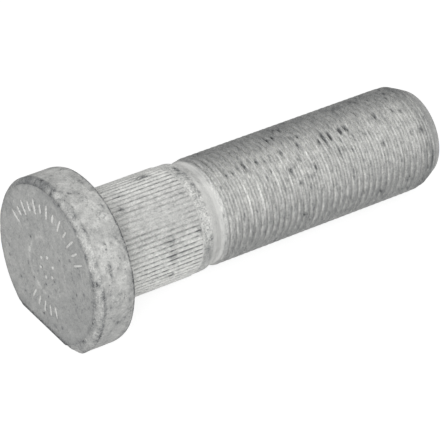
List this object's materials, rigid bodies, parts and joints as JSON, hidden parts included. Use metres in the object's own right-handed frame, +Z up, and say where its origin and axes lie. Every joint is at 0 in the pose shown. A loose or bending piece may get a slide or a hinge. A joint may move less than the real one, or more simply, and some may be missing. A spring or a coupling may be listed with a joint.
{
  "type": "wheel bolt",
  "caption": "Press-in wheel bolt with a round head cut by one flat, a serrated shank, a short neck and a long fine-threaded end with a bevelled tip.",
  "frame": {"origin": "middle of the bounding box, on the level surface that the bolt lies on", "axes": "+X from the head towards the tip, +Z up; the bolt's own axis dips towards the tip by 2.22 degrees, because it lies on the seat end of the head's flat and on the end of the thread"},
  "size_m": [0.0902, 0.0356, 0.0321],
  "materials": {
    "coated_steel": "matte grey zinc coat, speckled and slightly stained"
  },
  "bodies": {
    "root": {"wheel_bolt": "coated_steel"}
  },
  "joints": []
}
